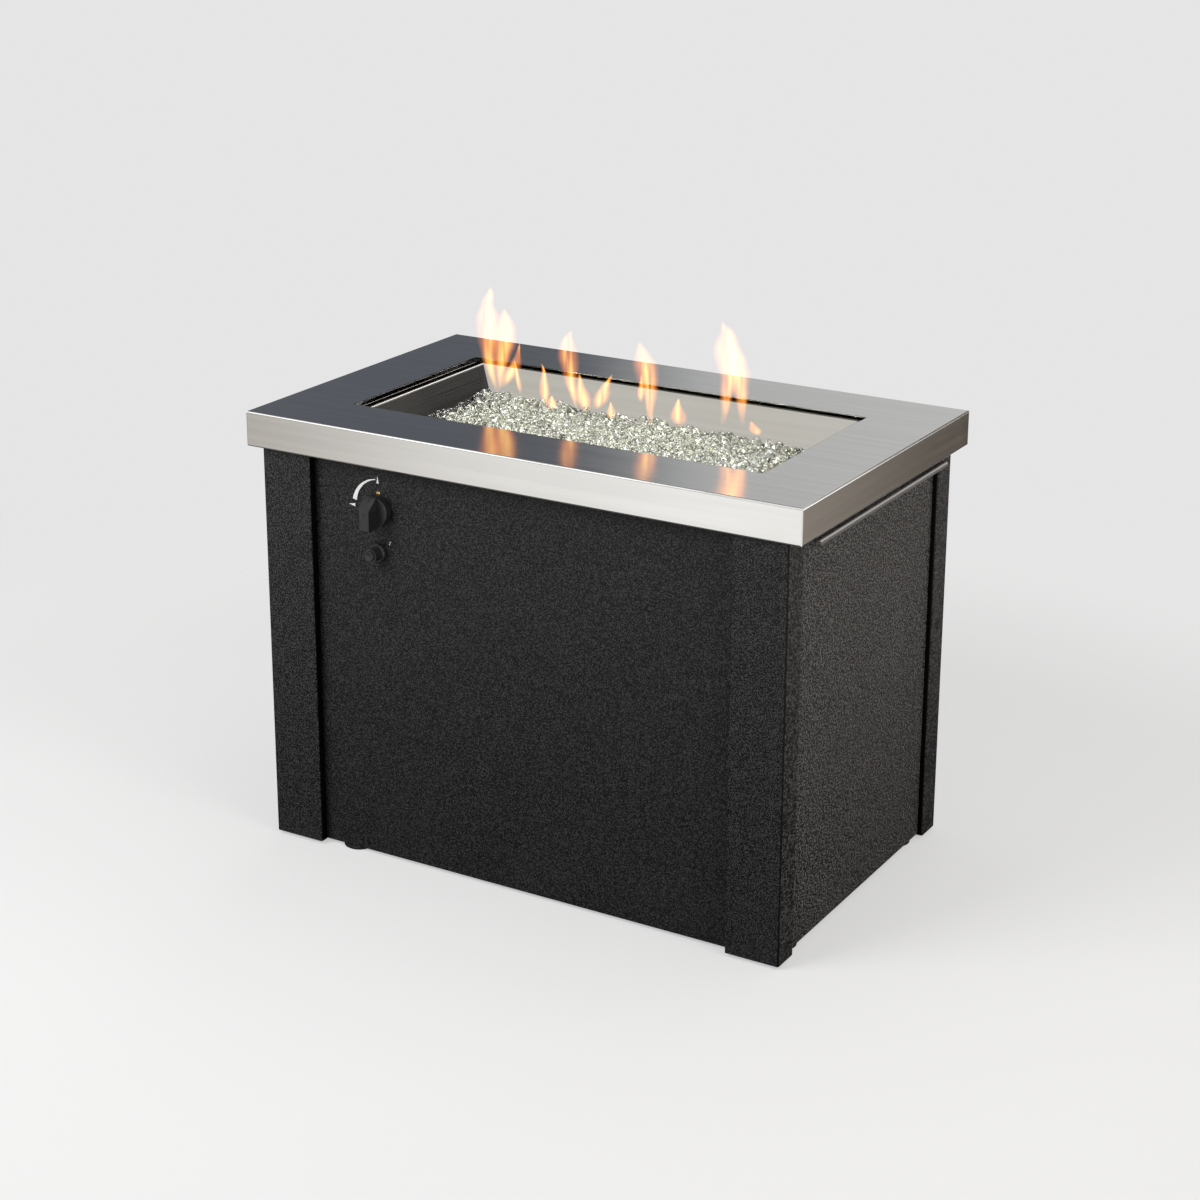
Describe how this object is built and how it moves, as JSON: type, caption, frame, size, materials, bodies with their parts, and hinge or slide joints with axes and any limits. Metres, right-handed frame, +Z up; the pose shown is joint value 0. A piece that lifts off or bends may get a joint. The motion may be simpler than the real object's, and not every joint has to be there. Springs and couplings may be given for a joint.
{
  "type": "gas fire pit table",
  "caption": "Rectangular gas fire table: folded stainless top round a sunk burner pan of glass nuggets, on a black sheet-steel cabinet with a knob, a spark button and a pull-off side door.",
  "frame": {"origin": "on the floor under the middle of the table top", "axes": "+X along the long side towards the door, +Y towards the back, away from the knob, +Z up"},
  "size_m": [0.82, 0.5105, 0.61],
  "materials": {
    "stainless": "brushed stainless sheet",
    "black_coat": "black hammered powder coat",
    "zinc_steel": "zinc-plated steel",
    "brass": "machined brass",
    "black_plastic": "moulded black plastic",
    "black_rubber": "black rubber cover",
    "white_ceramic": "white electrical ceramic",
    "clear_glass": "clear tumbled glass nuggets"
  },
  "bodies": {
    "table": {"table_top": "stainless", "leg_front_left": "black_coat", "leg_front_right": "black_coat", "leg_back_left": "black_coat", "leg_back_right": "black_coat", "front_panel": "black_coat", "back_panel": "black_coat", "left_panel": "black_coat", "top_rail_front": "black_coat", "top_rail_back": "black_coat", "top_rail_left": "black_coat", "top_rail_right": "black_coat", "sill_front": "black_coat", "sill_back": "black_coat", "sill_left": "black_coat", "sill_right": "black_coat", "tank_shelf": "black_coat", "tank_collar": "black_coat", "foot_front_left": "black_plastic", "foot_front_right": "black_plastic", "foot_back_left": "black_plastic", "foot_back_right": "black_plastic", "foot_nuts": "zinc_steel", "door_magnets": "black_plastic", "burner_strap_left": "zinc_steel", "burner_strap_right": "zinc_steel", "burner_pan": "stainless", "burner_tube": "zinc_steel", "burner_feet": "zinc_steel", "burner_jet": "brass", "feed_tube": "zinc_steel", "spark_electrode": "white_ceramic", "spark_lead": "black_rubber", "fire_glass": "clear_glass", "gas_valve": "zinc_steel", "inlet_fitting": "brass", "hose_nut": "brass", "gas_hose": "black_rubber", "gas_regulator": "zinc_steel", "tank_coupling": "black_plastic", "valve_screws": "brass", "igniter_body": "black_plastic", "igniter_nut": "black_plastic", "top_screws": "zinc_steel", "strap_screws": "zinc_steel", "panel_rivets": "black_coat"},
    "door": {"access_door": "black_coat", "door_pins": "zinc_steel"},
    "knob": {"control_knob": "black_plastic", "valve_stem": "brass"},
    "button": {"igniter_button": "black_plastic"}
  },
  "joints": [
    {"name": "door_pull", "type": "slide", "parent": "table", "child": "door", "axis": [1, 0, 0], "range_m": [0, 0.16]},
    {"name": "knob_turn", "type": "hinge", "parent": "table", "child": "knob", "pos_m": [-0.214, -0.228, 0.499], "axis": [0, -1, 0], "range_deg": [0, 90]},
    {"name": "igniter_press", "type": "slide", "parent": "table", "child": "button", "axis": [0, 1, 0], "range_m": [0, 0.005], "stiffness_N_per_m": 1200, "springref_m": -0.004}
  ]
}
